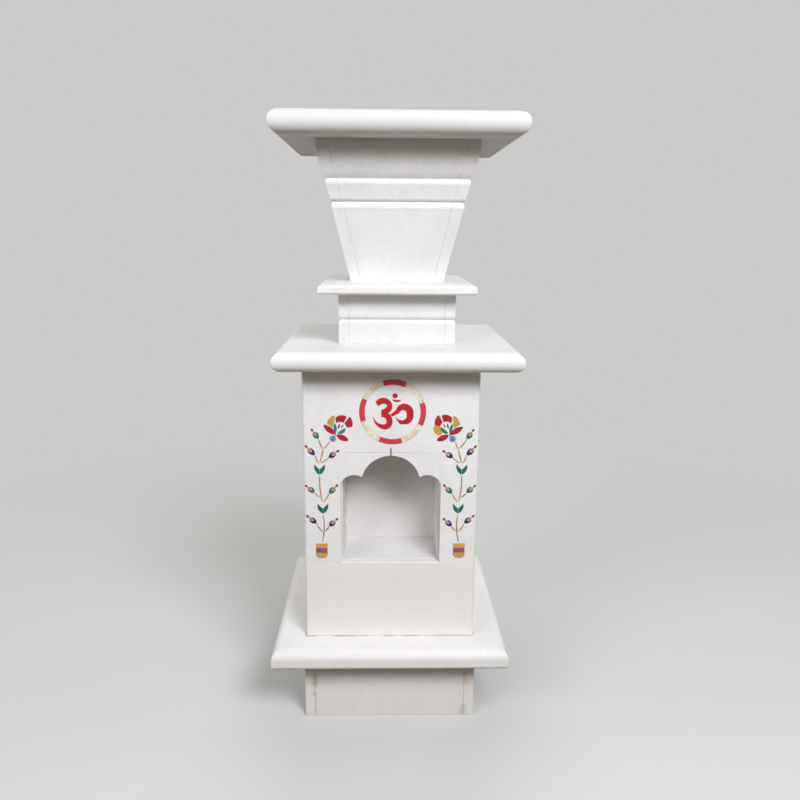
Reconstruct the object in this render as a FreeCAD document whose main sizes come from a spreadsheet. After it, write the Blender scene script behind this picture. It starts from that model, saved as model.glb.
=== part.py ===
import FreeCAD, Part
import os
import Sketcher
from FreeCAD import Vector

# Tulsi vrindavan planter: a hollow pedestal of polished marble slabs and panels, with a lamp
# niche behind a cusped arch, inlaid flowers and medallion, and a tapered square pot on top.
# Millimetres. +Z is up, the front faces -Y, and the origin is on the floor under the middle of
# the whole planter's outline.

doc = FreeCAD.newDocument("tulsi_vrindavan")
sheet = doc.addObject("Spreadsheet::Sheet", "sizes")

# Driving sizes: name, value, what it is
SIZES = [
    # Plinth and base slab
    ("pedestal_off_axis", -4.0, "how far plinth, base slab and body are set to the side"),
    ("plinth_step", 3.5, "how far the plinth stands out past the body's width"),
    ("plinth_height", 125.0, "height of the plinth panels"),
    ("plinth_wall", 18.0, "thickness of the plinth panels"),
    ("base_slab_overhang", 57.0, "how far the slab on the plinth reaches out past the body"),
    ("base_slab_thick", 35.0, "its thickness"),
    ("base_slab_band", 12.0, "straight band between its rolled upper edge and its lower edge"),
    ("base_slab_ease", 6.0, "radius of its lower edge"),
    ("slab_corner", 6.0, "radius of the slabs' corners in plan"),
    # Body with the niche
    ("body_wall", 18.0, "thickness of the body panels"),
    ("body_arris", 5.0, "radius of the body's front corners"),
    ("seam_height", 143.0, "seam between the lower and the upper front panel"),
    ("jamb_width", 64.0, "width of the front panel beside the opening"),
    ("niche_width", 174.0, "width of the opening in the upper front panel"),
    ("niche_rise", 203.0, "height of that opening above the seam"),
    ("niche_depth", 94.0, "from the back of the front panel to the niche's back"),
    ("niche_inset", 3.0, "how far the niche's cheeks stand in behind the jambs"),
    ("niche_wall", 18.0, "thickness of the niche's lining"),
    ("arch_crown_drop", 6.0, "from the opening's head down to the arch's crown"),
    ("arch_lobe_drop", 35.0, "from the arch's crown down to the side lobes' crowns"),
    ("arch_lobe_run", 21.0, "from a jamb in to the side lobe's crown"),
    ("arch_cusp_drop", 4.0, "from a side lobe's crown down to the cusp"),
    ("arch_cusp_run", 16.0, "from a side lobe's crown in to the cusp"),
    ("arch_spring_drop", 17.0, "from a side lobe's crown down to where it meets the jamb"),
    ("arch_slit", 2.4, "open slit between the two spandrels"),
    ("arch_kerf", 7.0, "length of the saw cut above the slit"),
    # Mid slab, neck and pot
    ("mid_slab_overhang", 54.0, "how far the slab on the body reaches out past it"),
    ("mid_slab_thick", 33.0, "its thickness"),
    ("nose_band", 1.0, "straight band at the middle of the slabs' round noses"),
    ("mid_slab_off_axis", 7.0, "how far the mid slab is set to the side, as stacked by hand"),
    ("pot_off_axis", 6.0, "how far the neck, the pot and its rim slab are set to the side"),
    ("neck_width", 201.0, "outside width of the neck"),
    ("neck_height", 87.0, "height of the neck"),
    ("neck_wall", 18.0, "thickness of the neck panels"),
    ("neck_groove_level", 42.0, "height of the groove round the neck"),
    ("neck_groove_width", 15.0, "width of that groove at the face"),
    ("neck_groove_depth", 4.5, "depth of that groove"),
    ("floor_slab_step", 0.5, "how far the pot's floor slab reaches out past the lip's width"),
    ("floor_slab_thick", 19.0, "its thickness"),
    ("floor_slab_bevel_run", 10.0, "how far its upper bevel runs in"),
    ("floor_slab_bevel_drop", 6.5, "how far its upper bevel drops"),
    ("floor_slab_ease", 3.0, "size of the small bevel below"),
    ("drain_radius", 6.0, "radius of the drain hole in the floor slab"),
    ("pot_foot_width", 160.0, "outside width at the pot's foot"),
    ("pot_lip_width", 266.0, "outside width at the pot's lip"),
    ("pot_height", 229.0, "height of the pot panels"),
    ("pot_wall", 18.0, "thickness of the pot panels"),
    ("rim_slab_overhang", 67.0, "how far the slab round the mouth reaches out past the lip"),
    ("rim_slab_thick", 37.0, "its thickness"),
    # Inlay
    ("inlay_depth", 3.0, "thickness of the inlaid stones"),
    ("medallion_width", 113.0, "outer width of the medallion's ring"),
    ("medallion_ring", 8.8, "width of the ring's band"),
    ("medallion_gap", 7.5, "clear height between the saw cut and the ring"),
    ("medallion_margin", 19.5, "clear height above the ring"),
    ("medallion_shift", 2.5, "how far the medallion is set to the right"),
    ("vine_foot", 8.5, "height of the vases' feet above the seam"),
    ("vine_clear", 81.5, "clear height above a vine"),
    ("vine_margin", 2.0, "clear strip between a vine and the edges of its jamb"),
    ("vine_shift", 2.0, "how far a vine's axis stands outwards of its jamb's middle"),
    ("vase_width", 21.0, "width of a vase at its rim"),
    ("vase_height", 27.0, "height of a vase"),
    ("leaf_height", 18.5, "height of a pair of leaves"),
    ("bud_width", 8.4, "width of a bud"),
    ("stem_width", 1.7, "width of a stem strip"),
    ("flower_size", 30.0, "height of a flower above its foot"),
    ("flower_shift", 3.0, "how far both flowers and the topmost buds are set to the right"),
    ("overrun", 20.0, "how far the blanks run past what they cut or trim"),
]
for row, (alias, value, meaning) in enumerate(SIZES, start=1):
    sheet.set("A%d" % row, alias)
    sheet.set("B%d" % row, str(value))
    sheet.set("C%d" % row, meaning)
    sheet.setAlias("B%d" % row, alias)
doc.recompute()


def size(alias):
    return float(sheet.get(alias))


def total(aliases):
    return sum(size(alias) for alias in aliases)


def sheet_sum(aliases):
    return "(" + " + ".join("sizes." + alias for alias in aliases) + ")"


# What the body's height, its width and the widths of the slabs are made up of
BODY_STACK = ["seam_height", "niche_rise", "arch_kerf", "medallion_gap", "medallion_width",
              "medallion_margin"]
BODY_SPAN = ["jamb_width", "niche_width", "jamb_width"]
PLINTH_SPAN = BODY_SPAN + ["plinth_step"] * 2
BASE_SLAB_SPAN = BODY_SPAN + ["base_slab_overhang"] * 2
MID_SLAB_SPAN = BODY_SPAN + ["mid_slab_overhang"] * 2
FLOOR_SLAB_SPAN = ["pot_lip_width"] + ["floor_slab_step"] * 2
RIM_SLAB_SPAN = ["pot_lip_width"] + ["rim_slab_overhang"] * 2
BODY_HEIGHT, BODY_WIDTH = sheet_sum(BODY_STACK), sheet_sum(BODY_SPAN)

# Levels, from the ground up, as expressions on the sheet
BASE_SLAB_LEVEL = "sizes.plinth_height"
BODY_LEVEL = BASE_SLAB_LEVEL + " + sizes.base_slab_thick"
SEAM_LEVEL = BODY_LEVEL + " + sizes.seam_height"
MID_SLAB_LEVEL = BODY_LEVEL + " + " + BODY_HEIGHT
NECK_LEVEL = MID_SLAB_LEVEL + " + sizes.mid_slab_thick"
FLOOR_SLAB_LEVEL = NECK_LEVEL + " + sizes.neck_height"
POT_LEVEL = FLOOR_SLAB_LEVEL + " + sizes.floor_slab_thick"
RIM_SLAB_LEVEL = POT_LEVEL + " + sizes.pot_height"

pieces = []


def keep(piece):
    """Notes an object as one sub-part of the planter, under its own name."""
    piece.Label = piece.Name
    pieces.append(piece)
    return piece


# Shared ways of making a piece

def set_place(item, x="0", y="0", z="0"):
    for axis, expression in zip("xyz", (x, y, z)):
        item.setExpression("Placement.Base." + axis, expression)


def block(name, lengths, place):
    """A sawn block: its three lengths and its lower corner are expressions."""
    item = doc.addObject("Part::Box", name)
    for side, expression in zip(("Length", "Width", "Height"), lengths):
        item.setExpression(side, expression)
    set_place(item, *place)
    return item


def origin_plane(body, role):
    return next(part for part in body.Origin.OriginFeatures if part.Role == role)


def new_sketch(body, role):
    sketch = body.newObject("Sketcher::SketchObject", body.Name + "_outline")
    sketch.AttachmentSupport = [(origin_plane(body, role), "")]
    sketch.MapMode = "FlatFace"
    return sketch


def pad(body, sketch, length, backwards=False):
    feature = body.newObject("PartDesign::Pad", body.Name + "_pad")
    feature.Profile = sketch
    feature.setExpression("Length", length)
    feature.Reversed = backwards
    sketch.Visibility = False
    return feature


def add_outline(sketch, outline):
    """Adds a closed outline: points in order, each a corner, or a pair of via point and corner
    where the edge that ends there is an arc."""
    def corner(entry):
        return entry[1] if isinstance(entry[0], tuple) else entry
    previous = corner(outline[-1])
    for entry in outline:
        start = Vector(previous[0], previous[1], 0)
        end = Vector(corner(entry)[0], corner(entry)[1], 0)
        if isinstance(entry[0], tuple):
            via = Vector(entry[0][0], entry[0][1], 0)
            sketch.addGeometry(Part.Arc(start, via, end), False)
        else:
            sketch.addGeometry(Part.LineSegment(start, end), False)
        previous = corner(entry)


def prism(name, role, outlines, length, backwards=False):
    """A body padded from closed outlines drawn on one of its origin planes."""
    body = doc.addObject("PartDesign::Body", name)
    sketch = new_sketch(body, role)
    for outline in outlines:
        add_outline(sketch, outline)
    pad(body, sketch, length, backwards)
    return body


def mirrored(name, source, normal, middle):
    """The same piece on the other side of the plane through middle, which is an expression."""
    item = doc.addObject("Part::Mirroring", name)
    item.Source = source
    item.Normal = normal
    item.setExpression("Base.x", middle)
    return item


def joined(kind, name, base, tool):
    """A Part::Cut or Part::Common of two objects."""
    item = doc.addObject(kind, name)
    item.Base = base
    item.Tool = tool
    return item


def same(one, other):
    """Two measured lengths that differ by rounding alone."""
    rounding = 1e-6
    return abs(one - other) < rounding


def upright_edges(shape, chosen=lambda x, y: True):
    """Names of the upright edges whose place in plan is chosen."""
    names = []
    for number, edge in enumerate(shape.Edges, start=1):
        box = edge.BoundBox
        if same(box.XLength, 0) and same(box.YLength, 0) and chosen(box.XMin, box.YMin):
            names.append("Edge%d" % number)
    return names


def fillet(body, base, edges, radius):
    feature = body.newObject("PartDesign::Fillet", body.Name + "_round")
    feature.Base = (base, edges)
    feature.setExpression("Radius", radius)
    doc.recompute()
    return feature


# Square plates with one edge all round, drawn across the front and given as the whole outline

def mitred_plate(name, outline, span, middle, level):
    """The outline swept both ways, so that the edges meet in mitres. span lists the sizes that
    make up its width, middle and level are expressions."""
    length = sheet_sum(span) + " + 2 * sizes.overrun"
    start = "-" + sheet_sum(span) + " / 2 - sizes.overrun"
    across = prism(name + "_across", "XZ_Plane", [outline], length, True)
    set_place(across, middle, start, level)
    along = prism(name + "_along", "YZ_Plane", [outline], length)
    set_place(along, middle + " + " + start, z=level)
    return joined("Part::Common", name, across, along)


def square_blank(name, span, height, middle, level):
    """A square block with rounded upright corners, for the plan of a slab."""
    body = doc.addObject("PartDesign::Body", name)
    sketch = new_sketch(body, "XY_Plane")
    half = total(span) / 2
    add_outline(sketch, [(-half, -half), (half, -half), (half, half), (-half, half)])
    for line in range(4):
        sketch.addConstraint(Sketcher.Constraint("Coincident", line, 2, (line + 1) % 4, 1))
    for line in (1, 3):
        sketch.addConstraint(Sketcher.Constraint("Horizontal", line))
    for line in (0, 2):
        sketch.addConstraint(Sketcher.Constraint("Vertical", line))
    sketch.addConstraint(Sketcher.Constraint("Symmetric", 0, 1, 1, 2, -1, 1))
    across = sketch.addConstraint(Sketcher.Constraint("DistanceX", 1, 1, 1, 2, 2 * half))
    along = sketch.addConstraint(Sketcher.Constraint("DistanceY", 2, 1, 2, 2, 2 * half))
    for number, label in ((across, "across"), (along, "along")):
        sketch.renameConstraint(number, label)
        sketch.setExpression("Constraints." + label, sheet_sum(span))
    feature = pad(body, sketch, height)
    doc.recompute()
    fillet(body, feature, upright_edges(feature.Shape), "sizes.slab_corner")
    set_place(body, middle, z=level)
    return body


def thick_slab(name, span, thick, upper_radius, lower_radius, middle, level):
    """A slab with a rolled edge that meets in mitres at its corners, which are rubbed round in
    plan. The radii are numbers."""
    half, top, spread = total(span) / 2, size(thick), 0.5 ** 0.5

    def quarter(side, centre, radius, turn, end):
        """A quarter circle on one side of the outline, turn is -1 below and 1 above."""
        via = (side * (centre[0] + spread * radius), centre[1] + turn * spread * radius)
        return via, (side * end[0], end[1])

    low, high = (half - lower_radius, lower_radius), (half - upper_radius, top - upper_radius)
    outline = [quarter(1, low, lower_radius, -1, (half, lower_radius)),
               (half, top - upper_radius),
               quarter(1, high, upper_radius, 1, (half - upper_radius, top)),
               (upper_radius - half, top),
               quarter(-1, high, upper_radius, 1, (half, top - upper_radius)),
               (-half, lower_radius),
               quarter(-1, low, lower_radius, -1, (half - lower_radius, 0)),
               (half - lower_radius, 0)]
    rolled = mitred_plate(name + "_rolled", outline, span, middle, level)
    plan = square_blank(name + "_plan", span, "sizes.%s + 2 * sizes.overrun" % thick, middle,
                        level + " - sizes.overrun")
    return joined("Part::Common", name, rolled, plan)


def round_nosed_slab(name, span, thick, middle, level):
    radius = (size(thick) - size("nose_band")) / 2
    return thick_slab(name, span, thick, radius, radius, middle, level)


# Four upright or slanted panels round a square, the side ones running the full depth

def walls(name, profile, inner_profile, width, level):
    """profile and inner_profile hold (half width, height) from foot to lip, with via points
    where the face is curved. The outer block is the square solid with that face all round.
    The square stands on the pot's own axis."""
    def flipped(entries):
        """The same face on the other side, from lip to foot."""
        corners = [entry[1] if isinstance(entry[0], tuple) else entry for entry in entries]
        turned = [(-corners[-1][0], corners[-1][1])]
        for number in range(len(entries) - 1, 0, -1):
            entry, end = entries[number], (-corners[number - 1][0], corners[number - 1][1])
            curved = isinstance(entry[0], tuple)
            turned.append(((-entry[0][0], entry[0][1]), end) if curved else end)
        return turned

    inner_foot, inner_lip = inner_profile
    block_outline = profile + flipped(profile)
    band_outline = profile + [inner_lip, inner_foot]
    core_outline = [inner_foot, inner_lip,
                    (-inner_lip[0], inner_lip[1]), (-inner_foot[0], inner_foot[1])]
    span = "sizes.%s + 2 * sizes.overrun" % width
    start = "-sizes.%s / 2 - sizes.overrun" % width
    middle = "sizes.pot_off_axis"

    # The side panel: its band swept from front to back, trimmed by the outer face
    side_band = prism(name + "_side_band", "XZ_Plane", [band_outline], span, True)
    set_place(side_band, middle, start, level)
    side_trim = prism(name + "_side_trim", "YZ_Plane", [block_outline], span)
    set_place(side_trim, middle + " + " + start, z=level)
    right = keep(joined("Part::Common", name + "_right", side_band, side_trim))
    keep(mirrored(name + "_left", right, Vector(1, 0, 0), middle))

    # The back panel: the same band swept from side to side, trimmed to stand between the sides
    back_band = prism(name + "_back_band", "YZ_Plane", [band_outline], span)
    set_place(back_band, middle + " + " + start, z=level)
    back_trim = prism(name + "_back_trim", "XZ_Plane", [core_outline], span, True)
    set_place(back_trim, middle, start, level)
    back = keep(joined("Part::Common", name + "_back", back_band, back_trim))
    keep(mirrored(name + "_front", back, Vector(0, 1, 0), middle))


# Plinth: four panels glued up into a square ring, with the side panels' edges showing in front

def make_plinth():
    width = sheet_sum(PLINTH_SPAN)
    inner = "(" + width + " - 2 * sizes.plinth_wall)"
    half, middle = width + " / 2", "sizes.pedestal_off_axis"
    side = ("sizes.plinth_wall", width, "sizes.plinth_height")
    face = (inner, "sizes.plinth_wall", "sizes.plinth_height")
    inside, rear = middle + " - " + inner + " / 2", half + " - sizes.plinth_wall"
    keep(block("plinth_left", side, (middle + " - " + half, "-" + half, "0")))
    keep(block("plinth_right", side, (middle + " + " + rear, "-" + half, "0")))
    keep(block("plinth_front", face, (inside, "-" + half, "0")))
    keep(block("plinth_back", face, (inside, rear, "0")))


def make_base_slab():
    ease = size("base_slab_ease")
    roll = size("base_slab_thick") - ease - size("base_slab_band")
    keep(thick_slab("base_slab", BASE_SLAB_SPAN, "base_slab_thick", roll, ease,
                    "sizes.pedestal_off_axis", BASE_SLAB_LEVEL))


# Body: the front panels cover the side panels' edges and have rounded corners

def set_on_face(item):
    """Stands an item drawn on the body's front face in its place."""
    set_place(item, "sizes.pedestal_off_axis", "-" + BODY_WIDTH + " / 2", BODY_LEVEL)


def make_body_walls():
    half = BODY_WIDTH + " / 2"
    left = "sizes.pedestal_off_axis - " + half
    depth = BODY_WIDTH + " - 2 * sizes.body_wall"
    side = ("sizes.body_wall", depth, BODY_HEIGHT)
    inside = "-" + half + " + sizes.body_wall"
    keep(block("body_left", side, (left, inside, BODY_LEVEL)))
    keep(block("body_right", side,
               ("sizes.pedestal_off_axis + " + half + " - sizes.body_wall", inside, BODY_LEVEL)))
    keep(block("body_back", (BODY_WIDTH, "sizes.body_wall", BODY_HEIGHT),
               (left, half + " - sizes.body_wall", BODY_LEVEL)))


def face_panel(name, outline):
    """A front panel padded backwards from the body's face, with rounded outer corners."""
    body = prism(name, "XZ_Plane", [outline], "sizes.body_wall", True)
    doc.recompute()
    half = total(BODY_SPAN) / 2
    edges = upright_edges(body.Shape, lambda x, y: same(abs(x), half) and same(y, 0))
    fillet(body, body.Tip, edges, "sizes.body_arris")
    set_on_face(body)
    return body


def make_lower_front():
    half, seam = total(BODY_SPAN) / 2, size("seam_height")
    keep(face_panel("front_lower", [(-half, 0), (half, 0), (half, seam), (-half, seam)]))


def upper_front_blank():
    """The upper front panel before the inlay is let in: square-headed opening and saw kerf."""
    half, seam, top = total(BODY_SPAN) / 2, size("seam_height"), total(BODY_STACK)
    jamb, head = size("niche_width") / 2, seam + size("niche_rise")
    slit, kerf = size("arch_slit") / 2, head + size("arch_kerf")
    outline = [(-half, seam), (-half, top), (half, top), (half, seam),
               (jamb, seam), (jamb, head), (slit, head), (slit, kerf),
               (-slit, kerf), (-slit, head), (-jamb, head), (-jamb, seam)]
    return face_panel("front_upper_blank", outline)


def circle_through(crown, side):
    """Centre height and radius of the circle with its top at crown that passes side."""
    run, drop = side[0] - crown[0], crown[1] - side[1]
    radius = (run ** 2 + drop ** 2) / (2 * drop)
    return crown[1] - radius, radius


def make_spandrels():
    """Each fills a top corner of the opening and carries half of the cusped arch."""
    slit, jamb = size("arch_slit") / 2, size("niche_width") / 2
    head = size("seam_height") + size("niche_rise")
    crown = head - size("arch_crown_drop")
    lobe = (jamb - size("arch_lobe_run"), crown - size("arch_lobe_drop"))
    cusp = (lobe[0] - size("arch_cusp_run"), lobe[1] - size("arch_cusp_drop"))
    spring = (jamb, lobe[1] - size("arch_spring_drop"))
    centre, radius = circle_through((0, crown), cusp)

    def on_arch(x):
        return x, centre + (radius ** 2 - x ** 2) ** 0.5

    outline = [(slit, head), on_arch(slit), (on_arch((slit + cusp[0]) / 2), cusp),
               (lobe, spring), (jamb, head)]
    set_on_face(keep(prism("spandrel_right", "XZ_Plane", [outline], "sizes.body_wall", True)))

    def other_side(point):
        return -point[0], point[1]

    outline = [other_side((slit, head)), other_side(on_arch(slit)),
               (other_side(on_arch((slit + cusp[0]) / 2)), other_side(cusp)),
               (other_side(lobe), other_side(spring)), other_side((jamb, head))]
    set_on_face(keep(prism("spandrel_left", "XZ_Plane", [outline], "sizes.body_wall", True)))


# Niche lining: floor and ceiling span the body, the back and the cheeks stand between them

def make_niche():
    clear = "(sizes.niche_width / 2 - sizes.niche_inset)"
    inside = "(" + BODY_WIDTH + " - 2 * sizes.body_wall)"
    front = "-" + BODY_WIDTH + " / 2 + sizes.body_wall"
    rear = front + " + sizes.niche_depth"
    deep = "sizes.niche_depth + sizes.niche_wall"
    plate = (inside, deep, "sizes.niche_wall")
    left = "sizes.pedestal_off_axis - " + inside + " / 2"
    keep(block("niche_floor", plate, (left, front, SEAM_LEVEL + " - sizes.niche_wall")))
    keep(block("niche_ceiling", plate, (left, front, SEAM_LEVEL + " + sizes.niche_rise")))
    cheek = ("sizes.niche_wall", "sizes.niche_depth", "sizes.niche_rise")
    keep(block("niche_left", cheek,
               ("sizes.pedestal_off_axis - " + clear + " - sizes.niche_wall", front, SEAM_LEVEL)))
    keep(block("niche_right", cheek, ("sizes.pedestal_off_axis + " + clear, front, SEAM_LEVEL)))
    keep(block("niche_back",
               ("2 * " + clear + " + 2 * sizes.niche_wall", "sizes.niche_wall", "sizes.niche_rise"),
               ("sizes.pedestal_off_axis - " + clear + " - sizes.niche_wall", rear, SEAM_LEVEL)))


# Mid slab and neck

def make_mid_slab():
    keep(round_nosed_slab("mid_slab", MID_SLAB_SPAN, "mid_slab_thick",
                          "sizes.mid_slab_off_axis", MID_SLAB_LEVEL))


def make_neck():
    half, top, wall = size("neck_width") / 2, size("neck_height"), size("neck_wall")
    level, depth = size("neck_groove_level"), size("neck_groove_depth")
    lip = size("neck_groove_width") / 2
    swell_up_share, swell_in_share = 0.40, 0.28
    near = (half - swell_in_share * depth, level - swell_up_share * lip)
    far = (half - swell_in_share * depth, level + swell_up_share * lip)
    profile = [(half, 0), (half, level - lip), (near, (half - depth, level)),
               (far, (half, level + lip)), (half, top)]
    walls("neck", profile, [(half - wall, 0), (half - wall, top)], "neck_width", NECK_LEVEL)


# Floor slab of the pot, bevelled above and below, with the drain hole

def make_floor_slab():
    half, top = total(FLOOR_SLAB_SPAN) / 2, size("floor_slab_thick")
    run, drop, ease = (size("floor_slab_bevel_run"), size("floor_slab_bevel_drop"),
                       size("floor_slab_ease"))
    outline = [(half - ease, 0), (half, ease), (half, top - drop), (half - run, top),
               (run - half, top), (-half, top - drop), (-half, ease), (ease - half, 0)]
    middle = "sizes.pot_off_axis"
    plate = mitred_plate("floor_slab", outline, FLOOR_SLAB_SPAN, middle, FLOOR_SLAB_LEVEL)
    drill = doc.addObject("Part::Cylinder", "drain_drill")
    drill.setExpression("Radius", "sizes.drain_radius")
    drill.setExpression("Height", "sizes.floor_slab_thick + 2 * sizes.overrun")
    set_place(drill, middle, z=FLOOR_SLAB_LEVEL + " - sizes.overrun")
    keep(joined("Part::Cut", "pot_floor", plate, drill))


# Pot: four slanted panels, carved as a plain lower tier, a rounded band and a flared upper tier

def make_pot():
    foot, lip = size("pot_foot_width") / 2, size("pot_lip_width") / 2
    top, wall = size("pot_height"), size("pot_wall")

    def at(out_share, up_share):
        return foot + out_share * (lip - foot), up_share * top

    profile = [
        at(0.0, 0.0), at(0.542, 0.515),
        (at(0.564, 0.552), at(0.510, 0.576)),
        (at(0.578, 0.587), at(0.619, 0.611)), at(0.717, 0.686),
        (at(0.735, 0.714), at(0.690, 0.736)),
        (at(0.786, 0.764), at(0.854, 0.799)),
        (at(0.953, 0.878), at(1.0, 1.0)),
    ]
    walls("pot", profile, [(foot - wall, 0), (lip - wall, top)], "pot_lip_width", POT_LEVEL)


# Rim slab: a round-nosed plate with a square mouth flush with the pot's inner face

def make_rim_slab():
    plate = round_nosed_slab("rim_slab_blank", RIM_SLAB_SPAN, "rim_slab_thick",
                             "sizes.pot_off_axis", RIM_SLAB_LEVEL)
    mouth = "(sizes.pot_lip_width - 2 * sizes.pot_wall)"
    saw = block("rim_mouth", (mouth, mouth, "sizes.rim_slab_thick + 2 * sizes.overrun"),
                ("sizes.pot_off_axis - " + mouth + " / 2", "-" + mouth + " / 2",
                 RIM_SLAB_LEVEL + " - sizes.overrun"))
    keep(joined("Part::Cut", "rim_slab", plate, saw))


# Inlay. Every stone is drawn on the body's face and let in to the same depth.

def blade(start, end, left_share, right_share):
    """A stone with two pointed ends. Its sides bulge by shares of its length, measured to the
    left and to the right of the way from start to end."""
    run, rise = end[0] - start[0], end[1] - start[1]
    middle = ((start[0] + end[0]) / 2, (start[1] + end[1]) / 2)
    left = (middle[0] - left_share * rise, middle[1] + left_share * run)
    right = (middle[0] + right_share * rise, middle[1] - right_share * run)
    return [(left, end), (right, start)]


def strip(start, end, bend_share, width):
    """A thin stem strip of constant bend, narrower at its ends."""
    run, rise = end[0] - start[0], end[1] - start[1]
    length = (run ** 2 + rise ** 2) ** 0.5
    end_share = width / 4 / length
    half_share = width / 2 / length

    def beside(spot, share):
        return spot[0] - share * rise, spot[1] + share * run

    middle = ((start[0] + end[0]) / 2, (start[1] + end[1]) / 2)
    return [(beside(middle, half_share + bend_share), beside(end, end_share)),
            beside(end, -end_share),
            (beside(middle, bend_share - half_share), beside(start, -end_share)),
            beside(start, end_share)]


def moved(outline, change):
    """The outline with each of its points put through change."""
    return [tuple(change(point) for point in entry) if isinstance(entry[0], tuple)
            else change(entry) for entry in outline]


def disc(centre, radius):
    """A round stone, as two half circles."""
    left, right = (centre[0] - radius, centre[1]), (centre[0] + radius, centre[1])
    return [((centre[0], centre[1] + radius), right), ((centre[0], centre[1] - radius), left)]


def inlay(name, outlines):
    stone = keep(prism(name, "XZ_Plane", outlines, "sizes.inlay_depth", True))
    set_on_face(stone)
    return stone


def ring_piece(centre, outer, inner, first, last):
    """A segment of a ring between two directions, each a unit-circle angle in degrees."""
    def at(radius, angle):
        turn = FreeCAD.Rotation(Vector(0, 0, 1), angle)
        spot = turn.multVec(Vector(radius, 0, 0))
        return centre[0] + spot.x, centre[1] + spot.y
    middle = (first + last) / 2
    return [at(outer, first), (at(outer, middle), at(outer, last)),
            at(inner, last), (at(inner, middle), at(inner, first))]


def make_medallion():
    radius = size("medallion_width") / 2
    inner = radius - size("medallion_ring")
    centre = (size("medallion_shift"), total(BODY_STACK) - size("medallion_margin") - radius)
    turn, red_arc, gap_arc, quarter_turn = -3.8, 42.5, 1.2, 90
    red, shell = [], []
    for quarter in range(4):
        middle = turn + quarter_turn * quarter
        red.append(ring_piece(centre, radius, inner, middle - red_arc / 2, middle + red_arc / 2))
        shell.append(ring_piece(centre, radius, inner, middle + red_arc / 2 + gap_arc,
                                middle + quarter_turn - red_arc / 2 - gap_arc))

    def at(point):
        return centre[0] + point[0] * radius, centre[1] + point[1] * radius

    # The sign's four stones: body with two bowls, hooked limb, crescent and dot
    body_shares = [(-0.512, 0.311), ((-0.272, 0.439), (-0.017, 0.209)),
                   ((-0.044, 0.064), (-0.143, -0.026)), ((-0.052, -0.120), (-0.007, -0.267)),
                   ((-0.080, -0.475), (-0.272, -0.530)), ((-0.465, -0.419), (-0.580, -0.144)),
                   ((-0.460, -0.325), (-0.300, -0.385)), ((-0.190, -0.345), (-0.179, -0.272)),
                   ((-0.227, -0.178), (-0.336, -0.157)), (-0.336, 0.072),
                   ((-0.215, 0.120), (-0.157, 0.207)), ((-0.225, 0.255), (-0.286, 0.262)),
                   ((-0.362, 0.236), (-0.422, 0.181))]
    limb_shares = [(-0.062, -0.080), (0.115, 0.074), ((0.197, 0.205), (0.358, 0.261)),
                   ((0.560, 0.160), (0.624, -0.079)), ((0.568, -0.278), (0.429, -0.373)),
                   (0.236, -0.373), ((0.150, -0.268), (0.079, -0.129)),
                   ((0.165, -0.225), (0.293, -0.258)), ((0.400, -0.200), (0.429, -0.079)),
                   ((0.400, 0.020), (0.315, 0.071)), ((0.235, 0.035), (0.190, -0.030)),
                   (-0.010, -0.128)]
    crescent_shares = [((0.120, 0.312), (0.255, 0.378)), ((0.130, 0.372), (-0.015, 0.393))]
    dot_place_shares, dot_radius_share = (0.071, 0.503), 0.072
    sign = [moved(body_shares, at), moved(limb_shares, at), moved(crescent_shares, at),
            disc(at(dot_place_shares), dot_radius_share * radius)]
    return [inlay("om_sign", sign), inlay("medallion_red", red), inlay("medallion_shell", shell)]


def vine_axis():
    """From the body's middle to each vine's axis."""
    return (size("niche_width") + size("jamb_width")) / 2 + size("vine_shift")


def vine_foot():
    return size("seam_height") + size("vine_foot")


TOP_FROM_SHARE = 0.80


def vine_frame(side):
    """Turns shares across and up a vine into places on the body's face. Across is counted
    towards the niche. side is -1 for the left vine and 1 for the right one. What is higher
    than TOP_FROM_SHARE is shifted."""
    reach = size("jamb_width") / 2 - size("vine_margin")
    height = total(BODY_STACK) - size("vine_clear") - vine_foot()

    def place(point):
        across, up = point[0] * reach, point[1] * height
        shift = size("flower_shift") if point[1] > TOP_FROM_SHARE else 0
        return side * (vine_axis() - across) + shift, vine_foot() + up
    return place


def vase_stones(side):
    """Upper and lower part of the vase, and the band between them."""
    half, height = size("vase_width") / 2, size("vase_height")

    def place(point):
        return side * vine_axis() + point[0] * half, vine_foot() + point[1] * height

    upper_shares = [(-0.93, 0.71), (-0.90, 0.88), (-1.0, 0.92), (-1.0, 1.0),
                    (1.0, 1.0), (1.0, 0.92), (0.90, 0.88), (0.93, 0.71)]
    band_shares = [(-0.95, 0.39), (-0.95, 0.69), (0.95, 0.69), (0.95, 0.39)]
    lower_shares = [(0.95, 0.37), ((0.88, 0.17), (0.60, 0.05)),
                    (0.60, 0.0), (-0.60, 0.0), (-0.60, 0.05), ((-0.88, 0.17), (-0.95, 0.37))]
    return ([moved(upper_shares, place), moved(lower_shares, place)],
            [moved(band_shares, place)])


# Buds of one vine: foot and tip as shares across and up the vine, and the calyx's stone
BUD_SHARES = [
    ((-0.285, 0.250), (-0.865, 0.308), "blue"), ((0.455, 0.230), (0.965, 0.286), "blue"),
    ((-0.370, 0.468), (-0.900, 0.5215), "green"), ((0.475, 0.4615), (0.990, 0.5255), "green"),
    ((-0.318, 0.728), (-0.872, 0.7965), "blue"), ((0.475, 0.711), (1.075, 0.762), "blue"),
    ((-0.200, 0.840), (-0.605, 0.908), "green"),
]

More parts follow.
